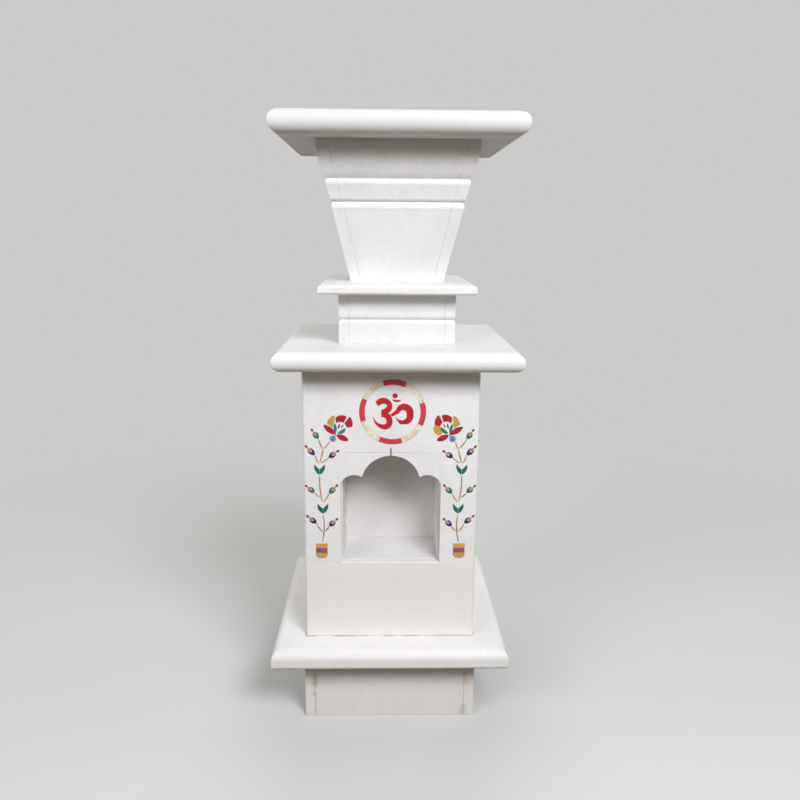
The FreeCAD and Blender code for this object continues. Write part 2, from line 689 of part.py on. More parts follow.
# Stems of one vine: start, end and bend, as shares
STEM_SHARES = [
    ((0.03, 0.117), (0.105, 0.312), -0.055), ((0.060, 0.190), (-0.268, 0.2455), 0.05),
    ((0.230, 0.196), (0.443, 0.2265), -0.05), ((0.08, 0.402), (-0.06, 0.587), 0.035),
    ((-0.070, 0.436), (-0.350, 0.464), 0.04), ((0.155, 0.403), (0.460, 0.4575), -0.03),
    ((-0.045, 0.677), (0.16, 0.766), -0.02), ((-0.120, 0.674), (-0.303, 0.7235), 0.04),
    ((0.035, 0.675), (0.455, 0.708), -0.05), ((0.195, 0.7725), (0.445, 0.8215), -0.04),
    ((0.125, 0.7745), (-0.185, 0.836), 0.04),
]

# Leaf pairs of one vine: their feet as shares across and up the vine, and one leaf's outline as
# shares of its height, from the pair's middle outwards
LEAF_FOOT_SHARES = [(0.100, 0.3205), (-0.055, 0.594)]
LEAF_SHARES = [((0.43, 0.42), (0.013, 0.0)), (0.013, 0.50), ((0.22, 0.69), (0.47, 1.0))]


def bud_stones(place, foot, tip):
    """Calyx, flame and tip of one bud, in shares of its length and width."""
    start, end = place(foot), place(tip)
    run, rise = end[0] - start[0], end[1] - start[1]
    length = (run ** 2 + rise ** 2) ** 0.5
    width = size("bud_width")

    def at(point):
        along, out = point[0], point[1] * width / length
        return start[0] + along * run - out * rise, start[1] + along * rise + out * run

    calyx_shares = [((0.20, 0.48), (0.60, 0.40)), (0.49, 0.25), ((0.33, 0.0), (0.49, -0.25)),
                    (0.60, -0.40), ((0.20, -0.48), (0.0, 0.0))]
    flame_shares = [((0.54, 0.23), (0.73, 0.0)), ((0.54, -0.23), (0.36, 0.0))]
    tip_shares = [((0.865, 0.21), (1.0, 0.0)), ((0.865, -0.21), (0.748, 0.0))]
    return moved(calyx_shares, at), moved(flame_shares, at), moved(tip_shares, at)


# Flower of one vine: its foot as shares of the vine, the rest as shares of the flower's size.
# A blade is a start, an end and its bulge to either side. The right flower leans outwards.
FLOWER_FOOT_SHARES = (0.80, 0.870)
FLOWER_LEANS = {-1: 0.0, 1: 8.0}
RED_PETAL_SHARES = [
    [(0.005, 0.955), ((0.22, 1.09), (0.60, 1.03)), (0.455, 0.700),
     ((0.24, 0.755), (0.020, 0.690))],
    [(0.79, 1.03), ((0.925, 0.75), (0.905, 0.455)), (0.655, 0.425),
     ((0.575, 0.545), (0.510, 0.660))],
]
OCHRE_PETAL_SHARES = [(-0.07, 1.05), ((-0.135, 0.74), (-0.205, 0.425)),
                      (-0.460, 0.665), ((-0.33, 0.91), (-0.13, 1.08))]
SIDE_PETAL_SHARES = [(0.555, 0.455), (0.835, 0.505), ((0.855, 0.20), (0.665, 0.015)),
                     ((0.55, 0.0), (0.455, 0.065)), ((0.50, 0.16), (0.525, 0.27))]
HEART_SHARES = [(0.065, 0.13), (0.065, 0.655), ((0.26, 0.705), (0.455, 0.665)), (0.585, 0.44)]
UPPER_SEPAL_SHARES = [((0.0, 0.010), (-0.687, 0.547), 0.18, 0.15)]
LOWER_SEPAL_SHARES = [((0.045, -0.040), (0.70, -0.345), 0.19, 0.21)]
GREEN_SHARES = [((0.0, 0.115), (-0.06, 0.645), 0.16, 0.13),
                ((0.085, 0.060), (0.55, 0.350), 0.07, 0.27)]
STRIPE_SHARES = [((0.113, 0.31), (0.235, 0.645), 0.17, 0.17),
                 ((0.270, 0.34), (0.460, 0.590), 0.14, 0.14)]
CALYX_PLACE_SHARES, CALYX_RADIUS_SHARE = (-0.18, -0.255), 0.185
CALYX_STRIPE_SHARES = [((-0.13, -0.165), (-0.24, -0.375), 0.12, 0.12)]
CALYX_LINK_SHARES = ((-0.015, -0.035), (-0.072, -0.095))


def make_vines():
    """Both vines, each kind of stone gathered in one piece."""
    stones = {}

    def lay(kind, *outlines):
        stones.setdefault(kind, []).extend(outlines)

    for side in (-1, 1):
        place = vine_frame(side)
        vase, band = vase_stones(side)
        lay("vases", *vase)
        lay("vase_bands", *band)
        for start, end, bend in STEM_SHARES:
            lay("stems", strip(place(start), place(end), -side * bend, size("stem_width")))
        for foot in map(place, LEAF_FOOT_SHARES):
            for way in (-1, 1):
                lay("leaves", moved(LEAF_SHARES, lambda point: (
                    foot[0] + way * point[0] * size("leaf_height"),
                    foot[1] + point[1] * size("leaf_height"))))
        for foot, tip, stone in BUD_SHARES:
            calyx, flame, point = bud_stones(place, foot, tip)
            lay("bud_cups_" + stone, calyx)
            lay("bud_flames", flame)
            lay("bud_tips", point)

        foot = place(FLOWER_FOOT_SHARES)

        def at(point):
            return (foot[0] - side * point[0] * size("flower_size"),
                    foot[1] + point[1] * size("flower_size"))

        def leaned(point):
            turn = FreeCAD.Rotation(Vector(0, 0, 1), FLOWER_LEANS[side])
            spot = turn.multVec(Vector(point[0], point[1], 0))
            return at((spot.x, spot.y))

        def leafy(table, change):
            drawn = []
            for start, end, left, right in table:
                pair = (left, right) if side < 0 else (right, left)
                drawn.append(blade(change(start), change(end), *pair))
            return drawn

        lay("petals_red", *[moved(petal, leaned) for petal in RED_PETAL_SHARES])
        lay("petals_ochre", moved(OCHRE_PETAL_SHARES, leaned))
        if side > 0:
            lay("petals_ochre", moved(SIDE_PETAL_SHARES, at))
        lay("sepals", *leafy(UPPER_SEPAL_SHARES, leaned), *leafy(LOWER_SEPAL_SHARES, at))
        lay("flower_greens", *leafy(GREEN_SHARES, leaned))
        stripes = leafy(STRIPE_SHARES, leaned)
        lay("heart_stripes", *stripes)
        lay("flower_hearts", moved(HEART_SHARES, leaned), *stripes)
        calyx_stripe = leafy(CALYX_STRIPE_SHARES, at)
        lay("flower_cups", disc(at(CALYX_PLACE_SHARES), CALYX_RADIUS_SHARE * size("flower_size")),
            *calyx_stripe)
        lay("bud_cups_blue", *calyx_stripe,
            strip(*map(at, CALYX_LINK_SHARES), 0, size("stem_width")))
    return [inlay(kind, outlines) for kind, outlines in stones.items()]


def make_upper_front(inlays):
    """The upper front panel with a recess for every inlaid stone."""
    tool = doc.addObject("Part::MultiFuse", "inlay_recesses")
    tool.Shapes = inlays
    keep(joined("Part::Cut", "front_upper", upper_front_blank(), tool))


make_plinth()
make_base_slab()
make_body_walls()
make_lower_front()
make_spandrels()
make_niche()
make_upper_front(make_medallion() + make_vines())
make_mid_slab()
make_neck()
make_floor_slab()
make_pot()
make_rim_slab()
doc.recompute()

for item in doc.Objects:
    if "Invalid" in item.State or "Error" in item.State:
        raise RuntimeError("%s failed: %s" % (item.Name, item.State))
os.makedirs("parts", exist_ok=True)
for piece in pieces:
    shape = piece.Shape
    if shape.isNull() or not shape.isValid() or not shape.Solids:
        raise RuntimeError("%s has no valid solid" % piece.Label)
    shape.exportStep(os.path.join("parts", piece.Label + ".step"))
    print("%-18s %3d solids %12.1f mm3" % (piece.Label, len(shape.Solids), shape.Volume))
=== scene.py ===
import math
import bmesh
import bpy
from mathutils import Matrix, Vector


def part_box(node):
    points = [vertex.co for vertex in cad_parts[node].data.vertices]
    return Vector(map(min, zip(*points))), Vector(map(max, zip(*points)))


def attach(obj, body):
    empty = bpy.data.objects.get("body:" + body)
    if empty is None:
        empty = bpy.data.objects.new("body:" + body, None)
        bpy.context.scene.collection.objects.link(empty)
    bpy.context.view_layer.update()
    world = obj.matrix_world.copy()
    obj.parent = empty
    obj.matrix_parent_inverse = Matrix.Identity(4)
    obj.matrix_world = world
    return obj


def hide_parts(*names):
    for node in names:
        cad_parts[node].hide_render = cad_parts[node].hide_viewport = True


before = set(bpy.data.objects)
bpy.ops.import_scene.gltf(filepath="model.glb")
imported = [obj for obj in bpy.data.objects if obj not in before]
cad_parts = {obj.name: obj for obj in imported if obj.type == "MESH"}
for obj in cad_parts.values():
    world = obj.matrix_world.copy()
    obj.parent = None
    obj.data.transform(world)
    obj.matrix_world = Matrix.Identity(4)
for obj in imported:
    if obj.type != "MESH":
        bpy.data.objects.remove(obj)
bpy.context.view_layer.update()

# Tulsi vrindavan planter: sawn and polished white marble, glued up in three sections that stand
# on one another, with coloured stones let in flush round a lamp niche. Metres, +Z up, the front
# looks along -Y.

# Viewpoint: a little left of the middle, just under the rim, looking slightly down.
# The eye's place and tilt were solved from the corners of the planter's own slabs.
EYE = Vector((-0.0177, -1.4116, 0.8784))
LOOK_DOWN, LOOK_RIGHT, LEAN = math.radians(12.53), math.radians(1.30), math.radians(0.45)
FOCAL_IN_PIXELS, PICTURE_PIXELS, FILM_WIDTH = 763.8, 800, 36.0

camera = bpy.data.objects.new("camera", bpy.data.cameras.new("camera"))
bpy.context.scene.collection.objects.link(camera)
camera.data.sensor_fit = "HORIZONTAL"
camera.data.sensor_width = FILM_WIDTH
camera.data.lens = FILM_WIDTH * FOCAL_IN_PIXELS / PICTURE_PIXELS
camera.matrix_world = (Matrix.Translation(EYE) @ Matrix.Rotation(-LOOK_RIGHT, 4, "Z")
                       @ Matrix.Rotation(math.pi / 2 - LOOK_DOWN, 4, "X")
                       @ Matrix.Rotation(LEAN, 4, "Z"))
bpy.context.scene.camera = camera
bpy.context.scene.view_settings.view_transform = "Standard"

# Floor and backdrop: a pale grey sweep that rises all round. Low down it is a matt floor that
# keeps the planter's shadow; higher up it shows as one even pale tone.
STAGE_FLAT, STAGE_CURVE, STAGE_TOP = 2.6, 1.4, 4.2
STAGE_STEPS, STAGE_BENDS = 64, 12
TOUCHING = 1e-6


def placed(shape, name, *materials):
    """Makes the shape an object of the scene."""
    mesh = bpy.data.meshes.new(name)
    shape.to_mesh(mesh)
    shape.free()
    for material in materials:
        mesh.materials.append(material)
    made = bpy.data.objects.new(name, mesh)
    bpy.context.scene.collection.objects.link(made)
    return made


def spun(profile, centre, steps, closed=False):
    """Spins a profile once round an upright axis, in as many steps as it has corners."""
    shape = bmesh.new()
    spots = [shape.verts.new(spot) for spot in profile]
    ends = spots[1:] + spots[:1] if closed else spots[1:]
    chain = [shape.edges.new(pair) for pair in zip(spots, ends)]
    bmesh.ops.spin(shape, geom=spots + chain, cent=centre, axis=(0, 0, 1), dvec=(0, 0, 0),
                   angle=2 * math.pi, steps=steps, use_merge=True, use_duplicate=False)
    bmesh.ops.remove_doubles(shape, verts=shape.verts, dist=TOUCHING)
    bmesh.ops.recalc_face_normals(shape, faces=shape.faces)
    for face in shape.faces:
        face.smooth = True
    return shape


# Finishes are written as sums of patterns. A pattern is a socket, and Python's own signs add
# the nodes that work it out.
class Pattern:
    """One value that changes over a surface."""

    def __init__(self, finish, socket):
        self.finish, self.socket = finish, socket

    def worked(self, operation, *values):
        return self.finish.node("ShaderNodeMath", {"operation": operation},
                                dict(enumerate(values)))

    def __add__(self, other):
        return self.worked("ADD", self, other)

    __radd__ = __add__

    def __sub__(self, other):
        return self.worked("SUBTRACT", self, other)

    def __rsub__(self, other):
        return self.worked("SUBTRACT", other, self)

    def __mul__(self, other):
        return self.worked("MULTIPLY", self, other)

    __rmul__ = __mul__

    def __abs__(self):
        return self.worked("ABSOLUTE", self)

    def larger(self, other):
        return self.worked("MAXIMUM", self, other)

    def eased(self, low, high, start=0.0, end=1.0):
        """Runs smoothly from start to end while the pattern runs from low to high."""
        return self.finish.node("ShaderNodeMapRange", {"interpolation_type": "SMOOTHSTEP"},
                                {"Value": self, "From Min": low, "From Max": high,
                                 "To Min": start, "To Max": end})

    def fading(self, near, far):
        """1 where the pattern is under near, 0 where it is over far."""
        return self.eased(near, far, 1.0, 0.0)


class Finish:
    """A material, and the one way that its nodes are made."""

    def __init__(self, name):
        self.material = bpy.data.materials.new(name)
        self.material.use_nodes = True
        self.tree = self.material.node_tree
        self.tree.nodes.clear()
        self.shader = self.tree.nodes.new("ShaderNodeBsdfPrincipled")
        self.output = self.tree.nodes.new("ShaderNodeOutputMaterial")
        self.tree.links.new(self.shader.outputs[0], self.output.inputs["Surface"])
        self.place = self.node("ShaderNodeTexCoord", {}, {}, "Object")

    def feed(self, socket, value):
        if isinstance(value, Pattern):
            self.tree.links.new(value.socket, socket)
        else:
            socket.default_value = value

    def node(self, kind, settings, inputs, output=0):
        made = self.tree.nodes.new(kind)
        for name, value in settings.items():
            setattr(made, name, value)
        for name, value in inputs.items():
            self.feed(made.inputs[name], value)
        return Pattern(self, made.outputs[output])

    def set(self, **values):
        """Sets the shader's own sockets, named with _ for a space."""
        for name, value in values.items():
            self.feed(self.shader.inputs[name.replace("_", " ")], value)

    def shifted(self, shift, turn=(0.0, 0.0, 0.0), stretch=(1.0, 1.0, 1.0)):
        return self.node("ShaderNodeMapping", {}, {"Vector": self.place, "Location": shift,
                                                   "Rotation": turn, "Scale": stretch})

    def noise(self, where, scale, detail=3.0, roughness=0.5, distortion=0.0):
        """A cloudy pattern with scale patches to the metre."""
        return self.node("ShaderNodeTexNoise", {},
                         {"Vector": where, "Scale": scale, "Detail": detail,
                          "Roughness": roughness, "Distortion": distortion})

    def along(self, axis):
        """The place along one axis, in metres."""
        return self.node("ShaderNodeSeparateXYZ", {}, {"Vector": self.place}, axis)

    def tinted(self, share, under, over):
        """Lays the colour over on the colour under, as much as share says."""
        factor, first, second, result = 0, 6, 7, 2
        return self.node("ShaderNodeMix", {"data_type": "RGBA"},
                         {factor: share, first: under, second: over}, result)

    def bumped(self, height, strength, distance):
        return self.node("ShaderNodeBump", {}, {"Height": height, "Strength": strength,
                                                "Distance": distance})


def colour(red, green, blue):
    return red, green, blue, 1.0


STAGE_FLOOR, STAGE_BOUNCE = colour(0.62, 0.615, 0.605), colour(0.17, 0.138, 0.102)
STAGE_BACK, BACK_FROM, BACK_TO = colour(0.60, 0.595, 0.585), 0.7, 1.9

paper = Finish("pale_sweep")
seen = paper.node("ShaderNodeLightPath", {}, {}, "Is Camera Ray")
gloss = paper.node("ShaderNodeLightPath", {}, {}, "Is Glossy Ray")
shown = (seen + gloss).eased(0.0, 1.0)
paper.set(Base_Color=paper.tinted(shown, STAGE_BOUNCE, STAGE_FLOOR), Roughness=0.9,
          Specular_IOR_Level=0.2)
away = paper.node("ShaderNodeVectorMath", {"operation": "LENGTH"}, {0: paper.place}, "Value")
even = paper.node("ShaderNodeEmission", {}, {"Color": STAGE_BACK, "Strength": 1.0})
backdrop = paper.node("ShaderNodeMixShader", {},
                      {0: away.eased(BACK_FROM, BACK_TO) * shown,
                       1: Pattern(paper, paper.shader.outputs[0]), 2: even})
paper.feed(paper.output.inputs["Surface"], backdrop)

sweep_line = [Vector((0.0, 0.0, 0.0)), Vector((STAGE_FLAT, 0.0, 0.0))]
for bend in range(1, STAGE_BENDS + 1):
    angle = bend / STAGE_BENDS * math.pi / 2
    sweep_line.append(Vector((STAGE_FLAT + STAGE_CURVE * math.sin(angle), 0.0,
                              STAGE_CURVE * (1 - math.cos(angle)))))
sweep_line.append(Vector((STAGE_FLAT + STAGE_CURVE, 0.0, STAGE_TOP)))
stage = placed(spun(sweep_line, (0, 0, 0), STAGE_STEPS), "floor_sweep", paper.material)

# Light: one soft lamp high in front on the right with two weaker ones lower down beside it, weak
# ones at the sides and a broad one behind so that every side reads, and warm air all round.
AIR_COLOUR, AIR_STRENGTH = colour(1.0, 0.93, 0.64), 0.27
LAMP_AIM, LAMP_TINT = Vector((0, 0, 0.6)), (0.92, 0.95, 1.0)

world = bpy.data.worlds.new("studio_air")
bpy.context.scene.world = world
world.use_nodes = True
air = world.node_tree.nodes["Background"]
air.inputs["Color"].default_value = AIR_COLOUR
air.inputs["Strength"].default_value = AIR_STRENGTH


def lamp(name, side_angle, height_angle, distance, width, height, watts):
    """A soft lamp that looks at the planter's middle. side_angle is counted from the front to
    the right, height_angle up from level."""
    made = bpy.data.objects.new(name, bpy.data.lights.new(name, "AREA"))
    bpy.context.scene.collection.objects.link(made)
    made.data.shape = "RECTANGLE"
    made.data.size = width
    made.data.size_y = height
    made.data.energy = watts
    made.data.color = LAMP_TINT
    side, rise = math.radians(side_angle), math.radians(height_angle)
    way = Vector((math.sin(side) * math.cos(rise), -math.cos(side) * math.cos(rise),
                  math.sin(rise)))
    made.location = LAMP_AIM + way * distance
    made.rotation_euler = way.to_track_quat("Z", "Y").to_euler()
    made.visible_camera = False
    return made


# Degrees to the right and up, distance, width, height and watts.
lamp("key_lamp", 24, 36, 3.0, 1.1, 0.9, 78)
lamp("front_left_lamp", -42, 26, 3.3, 1.7, 0.95, 42)
lamp("front_right_lamp", 45, 26, 3.3, 1.7, 0.95, 9)
lamp("left_lamp", -100, 12, 2.6, 1.2, 1.8, 13)
lamp("right_lamp", 100, 12, 2.6, 1.2, 1.8, 11)
lamp("back_lamp", 180, 24, 3.0, 2.6, 1.2, 50).visible_glossy = False

# Plinth: four upright panels glued into a square ring. The side panels run the full depth, so
# their sawn edges and the brown resin of the joints show on the front and the back.
ARRIS, SOAKED_WIDTH, SOAKED_SHARE = 0.0007, 0.012, 0.60
plinth_low, plinth_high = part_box("plinth_front")
pedestal_middle = (plinth_low.x + plinth_high.x) / 2
plinth_reach = (plinth_high.x - plinth_low.x) / 2
plinth_joint = (pedestal_middle, (plinth_reach, plinth_low.z), (plinth_reach, plinth_high.z))

# Marble: white stone with faint grey clouds, a fine crystal grain and a hand polish. Every slab
# is cut from another place in the block, so each has its own clouds and its own slight tint.
MARBLE_WHITE, MARBLE_GREY = colour(0.835, 0.825, 0.815), colour(0.69, 0.685, 0.68)
# The resin brown also colours the painted shade on the base slab, under the rim and in the niche's
# corners.
MARBLE_WARM, RESIN_AND_SHADE_BROWN = colour(0.82, 0.78, 0.755), colour(0.42, 0.33, 0.25)
FLECK_GREY, MARBLE_DULL = colour(0.30, 0.29, 0.28), colour(0.56, 0.54, 0.525)
CLOUD_SHARE, VEIN_SHARE, CRYSTAL_SHARE, GRAIN_SHARE, FLECK_SHARE = 0.40, 0.22, 0.16, 0.16, 0.8
WARM_DRIFT, POLISH_DRIFT = 0.25, 0.08
WAVE_STRENGTH, WAVE_HEIGHT, CRYSTAL_RISE = 0.10, 0.002, 0.08
LINE_CORE, LINE_EDGE = 0.0003, 0.0013
FLECK_CORE, FLECK_EDGE = 0.010, 0.035
ALONG_GRAIN, ACROSS_GRAIN, ALONG_STREAK, ACROSS_STREAK = 7.0, 240.0, 5.0, 420.0


def marble(name, block, warmth, polish, mottled=0.30, dull=0.0, ground=0.0, grain_along=None,
           joint=None, resin=0.62, stain_or_shade=None):
    """block is where in the stone the piece was cut, warmth its share of the warm tint, polish
    its roughness. mottled is the strength of the small grey blotches, dull the share of a darker
    and greyer tone, ground the strength of the level streaks left where a roll was ground.
    grain_along is the axis of a drawn-out grain. joint holds the middle of two glued joints and
    their half distance at a low and a high level, resin the strength of the joints' lines.
    The last argument takes the finish and gives the share of brown laid over it: resin or dirt,
    and on some pieces painted shade."""
    finish = Finish(name)
    where = finish.shifted(block, turn=(0.5 * block[0], 0.7 * block[1], 0.3 * block[2]))
    clouds = finish.noise(where, 9.0, detail=4.0, roughness=0.55, distortion=0.6)
    mottle = finish.noise(where, 95.0, detail=4.0, roughness=0.65).eased(0.42, 0.66)
    crystal = finish.noise(where, 800.0, detail=2.0, roughness=0.6)
    folds = finish.noise(where, 4.5, detail=5.0, roughness=0.6, distortion=1.2)
    veins = (abs(folds - 0.5).fading(0.0, 0.022)
             * finish.noise(where, 7.0, detail=1.0).eased(0.45, 0.65))
    tone = finish.tinted(clouds.eased(0.40, 0.75) * CLOUD_SHARE + mottle * mottled
                         + veins * VEIN_SHARE, MARBLE_WHITE, MARBLE_GREY)
    drift = finish.noise(where, 6.0, detail=2.0).eased(0.3, 0.7)
    tone = finish.tinted(drift * WARM_DRIFT + warmth, tone, MARBLE_WARM)
    tone = finish.tinted(crystal.eased(0.35, 0.65) * CRYSTAL_SHARE + dull, tone, MARBLE_DULL)
    fleck = finish.node("ShaderNodeTexVoronoi", {}, {"Vector": where, "Scale": 15.0})
    chosen = finish.noise(where, 10.0, detail=0.0).eased(0.64, 0.67)
    tone = finish.tinted(fleck.fading(FLECK_CORE, FLECK_EDGE) * chosen * FLECK_SHARE, tone,
                         FLECK_GREY)
    if grain_along is not None:
        stretch = [ALONG_GRAIN if axis == grain_along else ACROSS_GRAIN for axis in "XYZ"]
        grain = finish.noise(finish.shifted(block, stretch=stretch), 1.0, detail=2.0)
        tone = finish.tinted(grain.eased(0.45, 0.75) * GRAIN_SHARE, tone, MARBLE_GREY)
    if ground:
        level = finish.shifted(block, stretch=(ALONG_STREAK, ALONG_STREAK, ACROSS_STREAK))
        streaks = finish.noise(level, 1.0, detail=2.0, roughness=0.6).eased(0.42, 0.75)
        tone = finish.tinted(streaks * ground, tone, MARBLE_GREY)
    if joint is not None:
        centre, (low_half, low_level), (high_half, high_level) = joint
        lean = (high_half - low_half) / (high_level - low_level)
        start = low_half - lean * low_level
        off = abs(abs(finish.along("X") - centre) - (finish.along("Z") * lean + start))
        line = off.fading(LINE_CORE, LINE_EDGE) * finish.noise(where, 60.0).eased(0.3, 0.6)
        tone = finish.tinted(line * resin, tone, RESIN_AND_SHADE_BROWN)
    # Brown laid over the tone: resin or dirt, and on some pieces painted shade.
    if stain_or_shade is not None:
        tone = finish.tinted(stain_or_shade(finish), tone, RESIN_AND_SHADE_BROWN)
    wear = finish.noise(where, 26.0).eased(0.3, 0.7)
    waves = finish.noise(where, 30.0, detail=1.0) + crystal * CRYSTAL_RISE
    finish.set(Base_Color=tone, Roughness=wear * POLISH_DRIFT + polish,
               Normal=finish.bumped(waves, WAVE_STRENGTH, WAVE_HEIGHT),
               IOR=1.50, Specular_IOR_Level=0.30, Subsurface_Weight=0.08, Subsurface_Scale=0.005,
               Subsurface_Radius=(1.0, 0.85, 0.75))
    return finish.material


RUBBED_FROM, KEPT_SHARP_FROM = math.radians(35), math.radians(50)
RUBBED_STEPS, FLAT_WITHIN = 3, math.radians(0.2)


def sawn(node):
    """A copy of the CAD node's mesh, merged and with whole faces."""
    stone = bmesh.new()
    stone.from_mesh(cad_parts[node].data)
    bmesh.ops.remove_doubles(stone, verts=stone.verts, dist=TOUCHING)
    bmesh.ops.dissolve_limit(stone, angle_limit=FLAT_WITHIN, verts=stone.verts,
                             edges=stone.edges)
    return stone


def dressed(stone, name, node, body, material, ease=None):
    """Sets down a piece of marble that stands for the CAD node. ease is how far its arrises are
    rubbed down; without it they are already, and what is left sharp stays so."""
    for face in stone.faces:
        face.smooth = True
        face.material_index = 0
    if ease is None:
        for edge in stone.edges:
            edge.smooth = not (edge.is_manifold and edge.calc_face_angle() > KEPT_SHARP_FROM)
    piece = placed(stone, name, material)
    if ease is not None:
        rub = piece.modifiers.new("rubbed_arrises", "BEVEL")
        rub.width = ease
        rub.segments = RUBBED_STEPS
        rub.limit_method = "ANGLE"
        rub.angle_limit = RUBBED_FROM
    even_faces = piece.modifiers.new("even_faces", "WEIGHTED_NORMAL")
    even_faces.keep_sharp = True
    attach(piece, body)
    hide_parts(node)


def eased_copy(node, body, material, ease):
    """The same sawn piece with its arrises rubbed down."""
    dressed(sawn(node), node + "_eased", node, body, material, ease)


def plinth_stain(finish):
    """Brown resin that has soaked into the stone beside the joints."""
    off = abs(abs(finish.along("X") - pedestal_middle) - plinth_reach)
    patches = finish.noise(finish.shifted((0.9, 2.4, 0.6)), 34.0).eased(0.44, 0.64)
    return off.fading(0.0, SOAKED_WIDTH) * patches * SOAKED_SHARE


plinth_marble = marble("plinth_marble", (0.3, 1.1, 0.4), warmth=0.62, polish=0.38,
                       mottled=0.80, joint=plinth_joint, stain_or_shade=plinth_stain)
plinth_side_marble = marble("plinth_side_marble", (1.7, 0.2, 2.3), warmth=0.80, polish=0.38,
                            mottled=0.70, joint=plinth_joint, stain_or_shade=plinth_stain)
for side in ("front", "back"):
    eased_copy("plinth_" + side, "base", plinth_marble, ARRIS)
for side in ("left", "right"):
    eased_copy("plinth_" + side, "base", plinth_side_marble, ARRIS)

# Base slab: a thick slab with a wide roll along its upper edge, ground by hand and slightly
# pink. The roll meets in mitres at the corners, and these are rubbed soft.
BASE_ROLL, BASE_EASE, MITRE_EASE, MOUTH_ARRIS = 0.017, 0.0075, 0.005, 0.0015
SQUARE, ROLL_STEPS, MITRE_STEPS, MOUTH_STEPS = 4, 10, 4, 3
MITRE_FROM, MITRE_CLEAR = math.radians(4), 0.001
# Painted shade on the base slab: brown along its lower arris, and a dark line where the body
# stands on it.
LOW_SHADE_HEIGHT, LOW_SHADE_SHARE = 0.009, 0.35
FOOT_SHADE_CORE, FOOT_SHADE_EDGE, FOOT_SHADE_SHARE = 0.0006, 0.0020, 0.85
base_low, base_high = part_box("base_slab")
body_low, body_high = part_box("front_lower")
body_middle, body_reach = (body_low.x + body_high.x) / 2, (body_high.x - body_low.x) / 2


def bevelled(shape, edges, width, segments, clamped=True):
    bmesh.ops.bevel(shape, geom=edges, offset=width, offset_type="OFFSET", segments=segments,
                    profile=0.5, affect="EDGES", clamp_overlap=clamped, material=-1,
                    loop_slide=True)


def rolled_slab(node, body, material, upper, lower, mouth=0.0):
    """A square slab. upper and lower are the radii of its outer edge, mouth half the width of
    the square hole in it."""
    low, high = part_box(node)
    middle = (low + high) / 2
    reach, rise = (high.x - low.x) / 2, (high.z - low.z) / 2
    profile = [middle + Vector((out, out, up))
               for out, up in ((mouth, -rise), (reach, -rise), (reach, rise), (mouth, rise))]
    slab = spun(profile, middle, SQUARE, closed=mouth > 0.0)

    def out_from_middle(vert):
        return max(abs(vert.co.x - middle.x), abs(vert.co.y - middle.y))

    for level, radius in ((high.z, upper), (low.z, lower)):
        rim = [edge for edge in slab.edges
               if all(abs(vert.co.z - level) < TOUCHING
                      and out_from_middle(vert) > reach - TOUCHING for vert in edge.verts)]
        bevelled(slab, rim, radius, ROLL_STEPS, clamped=False)
    mitres = [edge for edge in slab.edges
              if edge.is_manifold and edge.calc_face_angle() > MITRE_FROM
              and all(abs(abs(vert.co.x - middle.x) - abs(vert.co.y - middle.y)) < 10 * TOUCHING
                      and abs(vert.co.x - middle.x) > mouth + MITRE_CLEAR
                      for vert in edge.verts)]
    bevelled(slab, mitres, MITRE_EASE, MITRE_STEPS)
    if mouth:
        lip = [edge for edge in slab.edges
               if all(min(abs(vert.co.z - low.z), abs(vert.co.z - high.z)) < TOUCHING
                      and out_from_middle(vert) < mouth + TOUCHING for vert in edge.verts)
               and abs(edge.verts[0].co.z - edge.verts[1].co.z) < TOUCHING]
        bevelled(slab, lip, MOUTH_ARRIS, MOUTH_STEPS)
    dressed(slab, node + "_rolled", node, body, material)


def base_painted_shade(finish):
    """Painted shade: browner along the lower arris, and a broken dark line in the dry joint round
    the body's foot.
    """
    level = finish.along("Z")
    patches = finish.noise(finish.place, 22.0).eased(0.3, 0.7, 0.5, 1.0)
    low_shade = level.fading(base_low.z + 0.001, base_low.z + LOW_SHADE_HEIGHT) * patches * LOW_SHADE_SHARE
    out = abs(finish.along("X") - body_middle).larger(abs(finish.along("Y")))
    foot = abs(out - (body_reach + FOOT_SHADE_CORE)).fading(FOOT_SHADE_CORE, FOOT_SHADE_EDGE)
    broken = finish.noise(finish.shifted((3.1, 0.4, 0.0)), 24.0, detail=2.0).eased(0.40, 0.52)
    on_top = level.eased(base_high.z - 0.002, base_high.z - 0.001)
    return low_shade + foot * broken * on_top * FOOT_SHADE_SHARE


base_marble = marble("base_slab_marble", (2.9, 3.1, 0.7), warmth=0.34, polish=0.40, ground=0.35,
                     stain_or_shade=base_painted_shade)
rolled_slab("base_slab", "base", base_marble, BASE_ROLL, BASE_EASE)

# Body: a square box of upright panels that stands dry on the base slab. Its side and back panels
# are polished, and the lower front panel, glued over their edges, is only rubbed down.
FOOT_ARRIS = 0.0014
body_marble = marble("body_side_marble", (4.3, 1.9, 3.7), warmth=0.06, polish=0.30)
for side in ("left", "right", "back"):
    eased_copy("body_" + side, "niche_section", body_marble, ARRIS)
lower_marble = marble("front_lower_marble", (5.1, 6.2, 1.3), warmth=0.72, polish=0.38,
                      mottled=0.75)
eased_copy("front_lower", "niche_section", lower_marble, FOOT_ARRIS)

# Upper front panel: the arrises of its outline and its opening are rubbed down, while those of
# the recesses stay sharp against the stones.
OPENING_ARRIS, OPENING_STEPS, RECESS_DEPTH, FRONTWARD = 0.0010, 2, 0.003, -0.9
panel_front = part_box("front_upper")[0].y
panel = sawn("front_upper")


def is_opening_arris(edge):
    if len(edge.link_faces) != 2 or edge.calc_face_angle() < RUBBED_FROM:
        return False
    if any(vert.co.y > panel_front + 10 * TOUCHING for vert in edge.verts):
        return False
    return all(face.normal.y < FRONTWARD
               or max(vert.co.y for vert in face.verts) > panel_front + 2 * RECESS_DEPTH
               for face in edge.link_faces)


